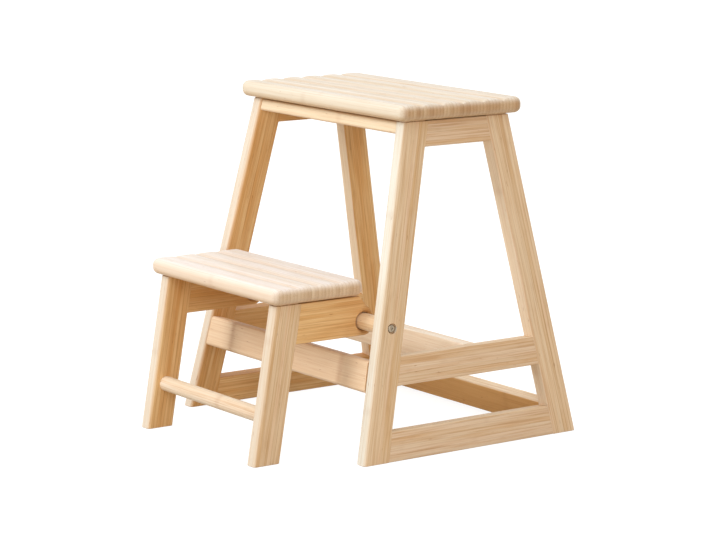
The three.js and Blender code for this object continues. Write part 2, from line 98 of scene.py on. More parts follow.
# %% Camera
camera_azimuth = math.radians(53.79)
camera_elevation = math.radians(10.18)
camera_roll = math.radians(-0.33)
camera_distance = 3.5812
camera_target = Vector((20.6 * mm, 11.1 * mm, 211.5 * mm))
sensor_width_mm = 36
lens_mm = 135.25

level = Vector((math.cos(camera_azimuth), math.sin(camera_azimuth), 0))
away = Vector((level.y, -level.x, 0))
camera_back = away * math.cos(camera_elevation) + up * math.sin(camera_elevation)
upright = camera_back.cross(level)
camera_right = level * math.cos(camera_roll) - upright * math.sin(camera_roll)
camera_up = level * math.sin(camera_roll) + upright * math.cos(camera_roll)
camera = bpy.data.objects.new("camera", bpy.data.cameras.new("camera"))
bpy.context.scene.collection.objects.link(camera)
camera.data.sensor_width = sensor_width_mm
camera.data.lens = lens_mm
camera.location = camera_target + camera_back * camera_distance
camera.rotation_euler = Matrix((camera_right, camera_up, camera_back)).transposed().to_euler()
bpy.context.scene.camera = camera
print("the camera stands", round(camera.location.z, 3), "m above the floor")

# %% [markdown]
# Materials are built from nodes. Colours are written as the hex values that a colour picker
# shows, and one function turns them to the linear values that Blender computes with. A second
# small function adds a node with its settings and its links, which keeps the recipes readable.

# %% Colour and node helpers
def linear(hex_colour):
    """An sRGB hex colour as linear red, green, blue and alpha."""
    shares = [int(hex_colour[at : at + 2], 16) / 255 for at in (1, 3, 5)]
    return [s / 12.92 if s <= 0.04045 else ((s + 0.055) / 1.055) ** 2.4 for s in shares] + [1]


def add(tree, kind, settings=None, links=None):
    """Adds a shader node. A setting is a property or an input, and a link feeds an input."""
    made = tree.nodes.new("ShaderNode" + kind)
    for key, value in (settings or {}).items():
        if isinstance(key, str) and hasattr(made, key):
            setattr(made, key, value)
        else:
            made.inputs[key].default_value = value
    for key, source in (links or {}).items():
        socket = source.outputs[0] if isinstance(source, bpy.types.Node) else source
        tree.links.new(socket, made.inputs[key])
    return made


def set_stops(ramp, stops):
    """Gives a colour ramp its stops, as pairs of a place from 0 to 1 and a hex colour."""
    elements = ramp.color_ramp.elements
    while len(elements) < len(stops):
        elements.new(1)
    for element, (place, colour) in zip(elements, stops):
        element.position = place
        element.color = linear(colour)
    return ramp


def new_material(name):
    """An empty material, and its node tree."""
    material = bpy.data.materials.new(name)
    material.use_nodes = True
    material.node_tree.nodes.clear()
    return material, material.node_tree


print("pale bamboo in linear light:", [round(c, 3) for c in linear("#E1D0B1")[:3]])

# %% [markdown]
# Laminated bamboo is made of strips some 5 mm thick, planed square from the wall of the cane and
# glued face to face. A board so made shows three different faces. Its edge grain, the broad side,
# shows the strips as parallel lines, each with fine dark streaks of fibre. Its flat grain, the
# narrow side, shows the face of one strip alone: paler and calm, crossed by a band where the cane
# had a joint. That paleness is partly the strip's own and partly painted light: the fronts of the
# legs, rails and treads show flat grain towards the lamps, and it stands for the glare on them. A
# board's end grain shows the strips cut across, as light and dark bars with the dots of the fibre bundles.
#
# One solid pattern gives all three. Every board carries its own coordinates in its mesh, as the
# attribute "grain": across the strips, through the board and along the fibres. The attribute
# "facing" says how much each face looks along each of these. So the lines run on round the
# rounded edges, as they do in real wood.
#
# The strips come first. Dividing the place across by a strip's thickness and keeping the whole
# number gives every strip a number of its own. White noise turns that into a random tone, and a
# slow noise along the strip lets the tone drift as it does along a cane.

# %% Tone of each strip
strip_thickness = 5.4 * mm
lane_spacing = 7.31
tone_length = 110 * mm
tone_drift = 1.1


def strip_pattern(tree):
    """The nodes that say where a point lies: its strip, the tone of it, and the way it faces."""
    grain = add(tree, "Attribute", {"attribute_name": "grain"}).outputs["Vector"]
    facing = add(tree, "Attribute", {"attribute_name": "facing"}).outputs["Vector"]
    place = add(tree, "SeparateXYZ", links={0: grain})
    count = add(tree, "Math", {"operation": "DIVIDE", 1: strip_thickness}, {0: place.outputs[0]})
    number = add(tree, "Math", {"operation": "FLOOR"}, {0: count})
    chance = add(tree, "TexWhiteNoise", {"noise_dimensions": "1D"}, {"W": number}).outputs["Value"]
    lane = add(tree, "Math", {"operation": "MULTIPLY", 1: lane_spacing}, {0: number})
    run = add(tree, "Math", {"operation": "DIVIDE", 1: tone_length}, {0: place.outputs[2]})
    drift_place = add(tree, "CombineXYZ", links={0: lane, 1: run})
    drift = add(tree, "TexNoise", {"Scale": 1, "Detail": 2}, {"Vector": drift_place})
    drift_range = {"operation": "MULTIPLY_ADD", 1: tone_drift, 2: -tone_drift / 2}
    tone = add(tree, "Math", drift_range, {0: drift})
    return {
        "grain": grain,
        "faces": add(tree, "SeparateXYZ", links={0: facing}).outputs,
        "along": place.outputs[2],
        "share": add(tree, "Math", {"operation": "FRACT"}, {0: count}),
        "chance": chance,
        "tone": add(tree, "Math", {"operation": "ADD", "use_clamp": True}, {0: chance, 1: tone}),
    }


print("strips across a leg:", round(leg_width / strip_thickness, 1))

# %% [markdown]
# Next come the fibres: a noise that is squeezed across the board and drawn out along it, so that
# it falls into streaks. The finer octaves of the same noise are the single fibres. The same kind
# of noise, cut off low, leaves a few short dark flecks. The glue lines and the bands of the
# cane's joints are thin bumps on a repeating ramp, made with Map Range.

# %% Fibres, flecks, glue lines and cane joints
fibre_width = 1.6 * mm
fibre_length = 95 * mm
fleck_width = 2 * mm
fleck_length = 15 * mm
glue_line = 0.45 * mm
cane_joint_spacing = 250 * mm
cane_joint_width = 9 * mm


def drawn_out(tree, place, width, length, settings):
    """A noise of streaks with a width and a length, which run along the third axis of a place."""
    squeeze = {"operation": "MULTIPLY", 1: (1 / width, 1 / width, 1 / length)}
    squeezed = add(tree, "VectorMath", squeeze, {0: place})
    return add(tree, "TexNoise", {"Scale": 1} | settings, {"Vector": squeezed})


def flecks(tree, pattern):
    """1 in the few short dark dashes where a bundle of fibres was stained or bruised."""
    noise = drawn_out(tree, pattern["grain"], fleck_width, fleck_length, {"Detail": 1})
    return add(tree, "MapRange", {"From Min": 0.27, "From Max": 0.2}, {"Value": noise})


def glue_lines(tree, pattern):
    """1 on the glue between two strips, but not on the face of a single strip."""
    middle = add(tree, "Math", {"operation": "SUBTRACT", 1: 0.5}, {0: pattern["share"]})
    edge = add(tree, "Math", {"operation": "ABSOLUTE"}, {0: middle})
    reach = {"From Min": 0.5 - glue_line / strip_thickness, "From Max": 0.5}
    line = add(tree, "MapRange", reach, {"Value": edge})
    seen = add(tree, "Math", {"operation": "SUBTRACT", 0: 1}, {1: pattern["faces"][0]})
    return add(tree, "Math", {"operation": "MULTIPLY"}, {0: line, 1: seen})


def cane_joints(tree, pattern, in_line):
    """1 in the bands where the cane had its joints, in line or at another place in each strip."""
    links = {0: pattern["along"]}
    if not in_line:
        links[2] = pattern["chance"]
    run = add(tree, "Math", {"operation": "MULTIPLY_ADD", 1: 1 / cane_joint_spacing, 2: 0}, links)
    turn = add(tree, "Math", {"operation": "PINGPONG", 1: 0.5}, {0: run})
    reach = cane_joint_width / cane_joint_spacing
    settings = {"interpolation_type": "SMOOTHSTEP", "From Max": reach, "To Min": 1, "To Max": 0}
    return add(tree, "MapRange", settings, {"Value": turn})


print("cane joints along a side rail:", round(frame_foot_depth / cane_joint_spacing, 1))

# %% [markdown]
# The end of a board shows every strip cut across. Real end grain drinks more lacquer, so it is
# darker, and each strip grows darker again towards the side that was the skin of the cane. A
# Voronoi pattern gives the dots of the bundles.

# %% End grain
bundle_spacing = 1.1 * mm
bundle_strength = 0.4
multiply = {"data_type": "RGBA", "blend_type": "MULTIPLY"}
dot_stops = [(0.1, "#B99468"), (0.45, "#FFFFFF")]
skin_stops = [(0, "#E4C9A6"), (0.2, "#FFFFFF"), (0.5, "#FAEFDF"), (1, "#C69C6C")]


def end_grain(tree, pattern, end_stops, contrast):
    """The colour of the strips where they are cut across."""
    bars = set_stops(add(tree, "ValToRGB", links={0: pattern["chance"]}), end_stops)
    flat = {"operation": "MULTIPLY", 1: (1 / bundle_spacing, 1 / bundle_spacing, 0)}
    across = add(tree, "VectorMath", flat, {0: pattern["grain"]})
    dots = add(tree, "TexVoronoi", {"Scale": 1}, {"Vector": across}).outputs["Distance"]
    dark = set_stops(add(tree, "ValToRGB", links={0: dots}), dot_stops)
    dotted = add(tree, "Mix", multiply | {"Factor": bundle_strength}, {6: bars, 7: dark}).outputs[2]
    skin = set_stops(add(tree, "ValToRGB", links={0: pattern["share"]}), skin_stops)
    return add(tree, "Mix", multiply | {"Factor": contrast}, {6: dotted, 7: skin}).outputs[2]


print("bundles across a strip:", round(strip_thickness / bundle_spacing, 1))

# %% [markdown]
# Every finish ends in the same way: a low bump over the height of its pattern, and a surface that
# takes the colour. Bamboo is finished with a thin matt lacquer, sprayed and rubbed down, which
# shines very little and lets the fibres be felt. Its index of refraction is 1.5, as for most
# lacquers.
#
# The parts of the pattern are laid over each other, from the broadest to the finest: the tones
# of the strips, the calm flat grain, streaks, flecks, glue, cane joints and end grain. Where a
# tread is sunk in a groove or turns under its lower rim, an attribute tints the wood a little
# darker and warmer, which is painted shade. The shine is a little duller where the fibres are dense.

# %% Bamboo
fleck_strength = 0.5
glue_strength = 0.3
end_turn = 1.5
bump_depth = 0.12 * mm
streak_stops = [(0.3, "#CDAA80"), (0.45, "#EFE0CB"), (0.58, "#FFFFFF")]


def add_surface(tree, settings, links, height, strength, depth):
    """Ends a material with a surface that has its settings and links, and a low bump."""
    bump = add(tree, "Bump", {"Strength": strength, "Distance": depth}, {"Height": height})
    surface = add(tree, "BsdfPrincipled", settings, links | {"Normal": bump})
    add(tree, "OutputMaterial", links={"Surface": surface})


def bamboo(name, strip_stops, flat_grain_and_light_colour, end_stops, flat_share=0.8, streaks=0.62, in_line=False):
    """Laminated bamboo under matt lacquer, with the tones of its three kinds of face."""
    material, tree = new_material(name)
    pattern = strip_pattern(tree)
    flat_face = pattern["faces"][0]
    fine = {"Detail": 5, "Roughness": 0.62}
    fibres = drawn_out(tree, pattern["grain"], fibre_width, fibre_length, fine)

    strips = set_stops(add(tree, "ValToRGB", links={0: pattern["tone"]}), strip_stops)
    # Painted light, in part: the flat grain's paler colour also stands for the glare on lit fronts.
    flat_grain_and_light_share = add(tree, "Math", {"operation": "MULTIPLY", 1: flat_share}, {0: flat_face})
    mix = {"data_type": "RGBA", 7: linear(flat_grain_and_light_colour)}
    colour = add(tree, "Mix", mix, {0: flat_grain_and_light_share, 6: strips}).outputs[2]

    streak = set_stops(add(tree, "ValToRGB", links={0: fibres}), streak_stops)
    strength = add(tree, "MapRange", {"To Min": streaks, "To Max": streaks / 2}, {"Value": flat_grain_and_light_share})
    colour = add(tree, "Mix", multiply, {0: strength, 6: colour, 7: streak}).outputs[2]

    weaken = {"operation": "MULTIPLY"}
    spots = add(tree, "Math", weaken | {1: fleck_strength}, {0: flecks(tree, pattern)})
    # Painted shade: the treads' grooves and lower rims are tinted darker and warmer.
    painted_shade_amount = add(tree, "Attribute", {"attribute_name": "painted_shade"}).outputs["Fac"]
    glue = add(tree, "Math", weaken | {1: glue_strength}, {0: glue_lines(tree, pattern)})
    depth = {"To Min": 0.15, "To Max": 0.2} if in_line else {"To Min": 0.06, "To Max": 0.1}
    depth = add(tree, "MapRange", depth, {"Value": flat_face})
    joints = add(tree, "Math", weaken, {0: cane_joints(tree, pattern, in_line), 1: depth})
    layers = [(spots, "#B27C48"), (painted_shade_amount, "#EFD7B6"), (glue, "#B48A5C"), (joints, "#B5793C")]
    for amount, tint in layers:
        colour = add(tree, "Mix", multiply | {7: linear(tint)}, {0: amount, 6: colour}).outputs[2]

    bars = end_grain(tree, pattern, end_stops, streaks)
    cut = add(tree, "Math", {"operation": "POWER", 1: end_turn}, {0: pattern["faces"][2]})
    colour = add(tree, "Mix", {"data_type": "RGBA"}, {0: cut, 6: colour, 7: bars}).outputs[2]

    dull = {"From Min": 0.3, "From Max": 0.7, "To Min": 0.55, "To Max": 0.45}
    shine = add(tree, "MapRange", dull, {"Value": fibres})
    lacquered = {"IOR": 1.5, "Specular IOR Level": 0.25}
    links = {"Base Color": colour, "Roughness": shine}
    add_surface(tree, lacquered, links, fibres, strength=0.5, depth=bump_depth)
    return material


print("the fibres stand", round(bump_depth / mm, 2), "mm proud at most")

# %% [markdown]
# One batch of canes differs from the next, so each kind of piece gets tones of its own, and
# several of them paint light and shade. The treads are the palest and show the least contrast;
# the step's tread is paler still, which is painted light. The boards on the left and the step's
# side rails are darker and honey coloured, which is painted shade, and so are the broad faces of
# the rear cross rail. The narrow sides of the rear legs, the middle rail and the pivot bar are
# paler, which is painted light. The rail between the front legs and the rung show the joints of
# the cane in line, as happens where all the strips of a board come from one cane; on that rail the
# bands fall behind the step's legs and are partly painted shadow. In each recipe the tones of the
# strips come first, then the colour of the flat grain and the tones of the ends.

# %% The bamboo finishes
def tones(places, colours):
    """The stops of a colour ramp, from places and as many hex colours."""
    return list(zip(places, colours.split()))


four = (0, 0.3, 0.6, 1)
four_ends = (0, 0.35, 0.65, 1)
three = (0, 0.5, 1)
pale = tones(four, "#E4D7C4 #E8DFD1 #EBE3D8 #E6DACA")
painted_light_step_strips = tones(four, "#EEE3D7 #F0E8E0 #F3EBE6 #EFE5DB")
pale_ends = tones(four_ends, "#BF9972 #D0AE88 #C5A17A #D9BC98")
painted_light_step_ends = tones(four_ends, "#D2B493 #DFC4A4 #D8BC9B #E2CAAC")
leg = tones(four, "#E0BD92 #E6CBA9 #ECD1AF #E9C9A8")
rail = tones(four, "#E2C09A #E6CBAC #EACFB2 #E5C6A5")
# Painted shade: darker, warmer strip tones for boards that stand in shade.
painted_shade_strips = tones(four, "#E4B172 #EBC189 #F1CA93 #E8BA7F")
rod = tones(three, "#E8CEB2 #F2E1CC #EED9C1")
bar = tones(three, "#F6D9B0 #FBE3C2 #F8DCB6")
painted_light_peach = tones(three, "#F9ECD8 #FDF4E6 #FAEEDC")
rear = tones(three, "#F0D8B6 #F6E3C8 #F1DBBB")
board_ends = tones(three, "#B98A58 #D9B283 #E2C297")
finishes = {
    "bamboo_tread": bamboo("laminated_bamboo_pale", pale, "#E8DBC6", pale_ends, streaks=0.35),
    # Painted light: the step's tread is a paler copy of the tread bamboo, for the stronger light on it.
    "step_tread": bamboo("laminated_bamboo_painted_light_step", painted_light_step_strips, "#EBD5BE", painted_light_step_ends, streaks=0.25),
    "bamboo_leg": bamboo("laminated_bamboo_legs", leg, "#EFF0E8", board_ends),
    "bamboo_rail": bamboo("laminated_bamboo_rails", rail, "#E8CFAC", board_ends),
    "step_leg": bamboo("laminated_bamboo_step_legs", leg, "#E5DACA", board_ends),
    # Painted shade: a darker, honey coloured copy for the left legs.
    "painted_shade_leg": bamboo("laminated_bamboo_painted_shade_legs", painted_shade_strips, "#EBE3D6", board_ends, flat_share=0.88),
    # Painted light: paler narrow sides for the rear legs; the left one also has painted shade in its strips.
    "painted_light_rear_leg": bamboo("laminated_bamboo_painted_light_rear_legs", leg, "#FDECD4", board_ends),
    "painted_light_and_shade_rear_leg": bamboo("laminated_bamboo_painted_light_and_shade_rear_legs", painted_shade_strips, "#FBEBD3", board_ends),
    # Painted shade: a darker copy with a dark flat grain for rails in shade.
    "painted_shade_rail": bamboo("laminated_bamboo_painted_shade_rails", painted_shade_strips, "#C58E55", board_ends),
    # Painted shade: the rear cross rail's broad faces are dark honey, while its top stays pale.
    "painted_shade_rear_rail": bamboo("laminated_bamboo_painted_shade_rear_rail", rear, "#E2AE69", board_ends, flat_share=0.95),
    "top_rail": bamboo("laminated_bamboo_cream_rail", rail, "#FCECD0", board_ends),
    # On the front cross rail the in-line joint bands are partly painted shadow of the step's legs.
    "cross_rail": bamboo("laminated_bamboo_flat", rail, "#F5DABA", board_ends, in_line=True),
    # Painted light: the middle rail is made paler, which stands for light on it where the step shades it.
    "painted_light_middle_rail": bamboo("laminated_bamboo_painted_light_peach", painted_light_peach, "#FFECD3", board_ends, flat_share=0.95),
    # Painted light: the pivot bar is made paler and warmer, which stands for light on it in the step's
    # shade.
    "painted_light_pivot_bar": bamboo("turned_bamboo_painted_light", bar, "#FCE5C4", board_ends),
    "bamboo_rod": bamboo("turned_bamboo", rod, "#F0E2CA", board_ends, in_line=True),
}
print("bamboo finishes:", ", ".join(material.name for material in finishes.values()))


# %% [markdown]
# The two screws are pan head machine screws of zinc plated steel, and the threaded inserts in the
# bar are of the same make. Zinc plate is a thin, slightly uneven coat, so the metal looks dull and
# a little cloudy. The hidden pins are turned from bamboo offcuts. They lie inside the joints, but
# they get a plain streaked wood all the same, for whoever takes the stool apart.

# %% Zinc plate and hidden pins
cloud_size = 0.8 * mm
cloud_depth = 0.02 * mm
cloud_dullness = 0.15
pin_streak_width = 0.8 * mm
pin_streak_length = 20 * mm


def zinc_plate(name, dull_colour, bright_colour, roughness):
    """Zinc plated steel: cloudy in colour and in shine."""
    material, tree = new_material(name)
    place = add(tree, "TexCoord").outputs["Object"]
    clouds = add(tree, "TexNoise", {"Scale": 1 / cloud_size, "Detail": 3}, {"Vector": place})
    stops = [(0.35, dull_colour), (0.65, bright_colour)]
    colour = set_stops(add(tree, "ValToRGB", links={0: clouds}), stops)
    dull = {"From Min": 0.3, "From Max": 0.7, "To Min": roughness, "To Max": roughness + cloud_dullness}
    shine = add(tree, "MapRange", dull, {"Value": clouds})
    links = {"Base Color": colour, "Roughness": shine}
    add_surface(tree, {"Metallic": 1}, links, clouds, strength=0.2, depth=cloud_depth)
    return material


def pin_wood(name):
    """Raw turned bamboo, with streaks that run the same way in every pin."""
    material, tree = new_material(name)
    place = add(tree, "TexCoord").outputs["Object"]
    streaks = drawn_out(tree, place, pin_streak_width, pin_streak_length, {"Detail": 3})
    stops = [(0.3, "#B98C58"), (0.7, "#DFBD8E")]
    colour = set_stops(add(tree, "ValToRGB", links={0: streaks}), stops)
    raw = {"Roughness": 0.65}
    add_surface(tree, raw, {"Base Color": colour}, streaks, strength=0.3, depth=bump_depth)
    return material


finishes["bamboo_pin"] = pin_wood("raw_turned_bamboo")
finishes["steel_screw"] = zinc_plate("zinc_plated_steel", "#8A7B68", "#BCAC94", 0.3)
finishes["steel_insert"] = zinc_plate("zinc_plated_insert", "#857D6C", "#A69E8A", 0.4)
hidden_pieces = {"pin_": "bamboo_pin", "pivot_insert_": "steel_insert"}
for name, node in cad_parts.items():
    for start, finish in hidden_pieces.items():
        if name.startswith(start):
            node.data.materials.clear()
            node.data.materials.append(finishes[finish])
print("finishes:", len(finishes))

# %% [markdown]
# Every board is lofted: its end is drawn once as an outline with rounded corners, and copies of
# that outline are laid along the board and joined with quads. A rounded corner is an arc that
# touches both sides, so its centre lies on the line that halves the corner. The outlines are made
# with an inset as well, which is how the ends of the boards get their small eased rims.

# %% Rounded outlines
corner_steps = 5
least_radius = 0.02 * mm


def rounded(corners, radii, inset=0, steps=corner_steps):
    """A convex outline with a radius at each corner, drawn in from its sides by the inset."""
    outline = []
    for index, (corner, radius) in enumerate(zip(corners, radii)):
        here = Vector(corner)
        before = (Vector(corners[index - 1]) - here).normalized()
        after = (Vector(corners[(index + 1) % len(corners)]) - here).normalized()
        spread = abs(before.x * after.y - before.y * after.x)
        reach = max(radius - inset, least_radius)
        centre = here + (before + after) * ((reach + inset) / spread)
        likeness = before.dot(after)
        start = (before * likeness - after) / spread
        stop = (after * likeness - before) / spread
        angle = start.angle(stop)
        for step in range(steps + 1):
            share = step / steps
            direction = start * math.sin((1 - share) * angle) + stop * math.sin(share * angle)
            outline.append(centre + direction / math.sin(angle) * reach)
    return outline


def quarter(radius, steps):
    """A quarter of a round, as pairs of how far in and how far up it is, from its foot."""
    angles = [math.pi / 2 * step / steps for step in range(steps + 1)]
    return [(radius * (1 - math.sin(angle)), radius * (1 - math.cos(angle))) for angle in angles]


print("points in a board's outline:", len(rounded([(0, 0), (1, 0), (1, 1), (0, 1)], [0.1] * 4)))

# %% [markdown]
# An outline becomes a ring in space when its points slide along the board to the plane that cuts
# it there. So one outline serves a slanted end, a level top and all that lies between. A loft
# joins such rings with quads, and a turned shape is a loft through circles, as from a lathe.

# %% Rings, lofts and turned shapes
turned_sides = 72


def laid(outline, origin, across, through, along, on_point, on_normal):
    """An outline's points, moved along the board until they lie on a plane."""
    ring = []
    for point in outline:
        start = origin + across * point.x + through * point.y
        way = (on_point - start).dot(on_normal) / along.dot(on_normal)
        ring.append(start + along * way)
    return ring


def loft(rings, closed=True):
    """A mesh through rings of as many points each, with a flat face over each end."""
    bm = bmesh.new()
    rows = [[bm.verts.new(point) for point in ring] for ring in rings]
    for row, following in zip(rows, rows[1:]):
        for index in range(len(row)):
            other = (index + 1) % len(row)
            bm.faces.new((row[index], row[other], following[other], following[index]))
    bm.faces.new(rows[0])
    if closed:
        bm.faces.new(rows[-1])
    return bm, rows


def to_mesh(name, bm):
    """Turns a closed bmesh into a mesh whose faces all look outwards."""
    bmesh.ops.recalc_face_normals(bm, faces=bm.faces)
    mesh = bpy.data.meshes.new(name)
    bm.to_mesh(mesh)
    bm.free()
    return mesh


def turned(name, profile, origin, axis):
    """A shape as from a lathe: pairs of a radius and a place along the axis."""
    first = axis.orthogonal().normalized()
    second = axis.cross(first)
    angles = [2 * math.pi * index / turned_sides for index in range(turned_sides)]
    rings = []
    for radius, place in profile:
        middle = origin + axis * place
        rings.append([middle + (first * math.cos(a) + second * math.sin(a)) * radius for a in angles])
    return to_mesh(name, loft(rings)[0])


print("sides of a round bar:", turned_sides)

# %% [markdown]
# On the real stool the holes are drilled. Here a tool of the hole's shape is cut out of the board
# with an exact Boolean. A modifier could do that and stay, but it is applied at once, so that the
# mesh itself holds the hole.

# %% Cutting holes
cut_solver = "EXACT"


def carve(mesh, *tools):
    """Cuts closed tool meshes out of a mesh and gives the new mesh."""
    work = bpy.data.objects.new("work", mesh)
    bpy.context.scene.collection.objects.link(work)
    cutters = []
    for tool in tools:
        cutter = bpy.data.objects.new("cutter", tool)
        bpy.context.scene.collection.objects.link(cutter)
        cutters.append(cutter)
        cut = work.modifiers.new("cut", "BOOLEAN")
        cut.object = cutter
        cut.solver = cut_solver
    bpy.context.view_layer.update()
    evaluated = work.evaluated_get(bpy.context.evaluated_depsgraph_get())
    made = bpy.data.meshes.new_from_object(evaluated)
    for item in [work] + cutters:
        bpy.data.objects.remove(item)
    return made


print("holes are cut with the solver", cut_solver)

# %% [markdown]
# Each piece is finished in the same way. Its corner normals are averaged by area over every
# gentle turn and left alone at sharp ones. That keeps the broad faces flat and lets the light
# roll round the edges. The same normals, squared, tell the material which grain a face shows.
# The grain itself starts at another place in each piece, so no two boards look alike.

# %% Finishing a piece
sharp_turn = math.radians(38)
grain_step = Vector((0.0973, 0.0411, 0.3137))
finished = {}


def corner_normals(mesh):
    """For each corner of each face, the mean of the faces that turn gently from it, by area."""
    faces_at = [[] for _ in mesh.vertices]
    for face in mesh.polygons:
        for vertex in face.vertices:
            faces_at[vertex].append(face)
    limit = math.cos(sharp_turn)
    normals = []
    for face in mesh.polygons:
        for vertex in face.vertices:
            near = [other for other in faces_at[vertex] if other.normal.dot(face.normal) > limit]
            total = sum((other.normal * other.area for other in near), Vector())
            normals.append(total.normalized())
    return normals


def finish_piece(node, mesh, slot, body, axes, tone_and_light=None, joint_at=None):
    """Makes a mesh the visible piece for a node. The axes run across, through and along its grain."""
    name = node + "_finished"
    mesh.name = name
    shift = grain_step * (len(finished) + 1)
    if joint_at is not None:
        shift.z = -joint_at
    grain = mesh.attributes.new("grain", "FLOAT_VECTOR", "POINT")
    for vertex in mesh.vertices:
        grain.data[vertex.index].vector = [vertex.co.dot(axis) + s for axis, s in zip(axes, shift)]
    normals = corner_normals(mesh)
    facing = mesh.attributes.new("facing", "FLOAT_VECTOR", "CORNER")
    for index, normal in enumerate(normals):
        facing.data[index].vector = [normal.dot(axis) ** 2 for axis in axes]
    mesh.shade_smooth()
    mesh.normals_split_custom_set(normals)
    mesh.materials.clear()
    mesh.materials.append(finishes[tone_and_light or slot])
    piece = bpy.data.objects.new(name, mesh)
    bpy.context.scene.collection.objects.link(piece)
    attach(piece, body)
    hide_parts(node)
    finished[node] = piece
    print(name, len(mesh.polygons), "faces")


print("edges that turn more stay sharp, in degrees:", round(math.degrees(sharp_turn)))

# %% [markdown]
# The legs of the two side panels are 38 by 19 mm boards. Their outward edge is rounded to 5 mm,
# the others are only eased. Each panel leans inwards, and its legs lean towards each other in
# the plane of the panel, so a leg's directions are worked out from those of its panel.

# %% Boards of a side panel
leg_face_radius = 5 * mm
top_rail_width = 35 * mm
mid_rail_low = 96 * mm
mid_rail_width = 38 * mm
bottom_rail_width = 39 * mm
rail_spans = {
    "bottom": (0, bottom_rail_width),
    "mid": (mid_rail_low, mid_rail_low + mid_rail_width),
    "top": (panel_height - top_rail_width, panel_height),
}


def board_corners(lows, highs):
    """The corners of a board, from how far across it starts and stops at its two faces."""
    return [
        (lows[0], -half_thickness),
        (highs[0], -half_thickness),
        (highs[1], half_thickness),
        (lows[1], half_thickness),
    ]


def leg_outline(inner_radius, inset=0):
    """The end of a leg, with its rounded face at 0 and its inner edge at the leg's width."""
    radii = [leg_face_radius, inner_radius, inner_radius, leg_face_radius]
    return rounded(board_corners([0, 0], [leg_width, leg_width]), radii, inset)


def panel_axes(side):
    """A side panel's outer foot, and its directions: out of its plane, and up along it."""
    turn = -side * splay
    foot = Vector((side * frame_foot_width / 2, frame_centre, 0))
    outward = Vector((math.cos(turn), 0, -math.sin(turn)))
    return foot, outward, Vector((math.sin(turn), 0, math.cos(turn)))


def leg_axes(side, end):
    """A panel leg's foot, and its directions across, through and along."""
    foot, outward, rise = panel_axes(side)
    origin = foot - outward * side * half_thickness + back * end * frame_foot_depth / 2
    across = -back * end * math.cos(lean) - rise * math.sin(lean)
    along = -back * end * math.sin(lean) + rise * math.cos(lean)
    return origin, across, outward, along


for rail_name, (low, high) in rail_spans.items():
    print(rail_name, "side rail from", round(low / mm, 1), "to", round(high / mm, 1), "mm up the panel")

# %% [markdown]
# On the real stool the rails are glued in first and the opening is then eased with a router, so
# a leg's inner edge is rounded between the rails and stays sharp where a rail meets it flush.
# Here the radius simply changes from one outline to the next.
#
# A dark line parts each tread from what carries it. So a leg's top is rebated all round, and the
# rails end as low as its shoulder, which leaves a narrow gap in shadow.

# %% Rings of a leg
edge_radius = 1.5 * mm
flush_radius = 0.15 * mm
edge_change = 0.75 * mm
foot_ease = 0.6 * mm
shadow_gap = 2.2 * mm
gap_depth = 3 * mm
joint_gap = 0.1 * mm


def leg_foot(radius):
    """Rows for the eased foot of a leg: an inner radius, an inset and a height for each ring."""
    return [(radius, foot_ease, 0), (radius, 0, foot_ease)]


def leg_top(height):
    """Rows for the top of a leg, which is rebated all round."""
    below = height - shadow_gap
    return [
        (flush_radius, 0, below - foot_ease / 2),
        (flush_radius, foot_ease / 2, below),
        (flush_radius, gap_depth, below),
        (flush_radius, gap_depth, height - joint_gap),
    ]


def level_rings(axes, rows):
    """The level rings of a leg, from rows of an inner radius, an inset and a height."""
    return [laid(leg_outline(radius, inset), *axes, up * height, up) for radius, inset, height in rows]


def panel_leg(side, end):
    """The mesh of a panel leg, before any hole."""
    axes = leg_axes(side, end)
    foot, _, rise = panel_axes(side)
    rings = level_rings(axes, leg_foot(flush_radius))
    for span in rail_spans.values():
        for place, order in zip(span, (1, -1)):
            if 0 < place < panel_height:
                radii = (edge_radius, flush_radius)[::order]
                for radius, shift in zip(radii, (-edge_change, edge_change)):
                    rings.append(laid(leg_outline(radius), *axes, foot + rise * (place + shift), rise))
    rings += level_rings(axes, leg_top(frame_height))
    return to_mesh("panel_leg", loft(rings)[0])


print("the gap over a leg's shoulder is", round(shadow_gap / mm, 1), "mm high")

# %% [markdown]
# A screw passes through each front leg into the end of the bar, with its head sunk in a round
# counterbore. The rim of the counterbore is broken with a countersink, so it catches the light.

# %% Holes in the front legs
step_rail_width = 54 * mm
nose_wall = 7 * mm
dowel_radius = 11 * mm
step_rail_nose = dowel_radius + nose_wall
pivot_height = step_height - step_rail_width + step_rail_nose
panel_leg_depth = leg_width / math.cos(lean)
frame_front = frame_centre - frame_foot_depth / 2
pivot_y = frame_front + pivot_height * math.tan(lean_across) + panel_leg_depth / 2
pivot = Vector((0, pivot_y, pivot_height))
counterbore_radius = 6.75 * mm
counterbore_depth = 4 * mm
screw_radius = 3 * mm
screw_room = 0.3 * mm
rim_ease = 0.5 * mm
overrun = 30 * mm
outer_face = frame_foot_width / 2 - pivot_height * math.tan(splay)
screw_seat = outer_face - counterbore_depth


def screw_hole(side):
    """The tools for one screw: its passage and counterbore, and the countersunk rim."""
    steps = [
        (screw_radius + screw_room, screw_seat - board_thickness),
        (screw_radius + screw_room, screw_seat),
        (counterbore_radius, screw_seat),
        (counterbore_radius, screw_seat + overrun),
    ]
    bore = turned("bore", steps, pivot, right * side)
    _, outward, _ = panel_axes(side)
    rim = [
        (counterbore_radius - rim_ease, -2 * rim_ease),
        (counterbore_radius + 2 * rim_ease, rim_ease),
    ]
    return bore, turned("rim", rim, pivot + right * side * outer_face, outward * side)


print("the step swings on an axis", round(pivot_height / mm, 1), "mm above the floor")

# %% [markdown]
# One leg could be mirrored three times, but then its grain would repeat. So each leg is built in
# its own place and gets its own finish: the pair on the left is darker and honey coloured, which is
# painted shade, and the rear pair is creamier on its narrow sides, which is painted light.

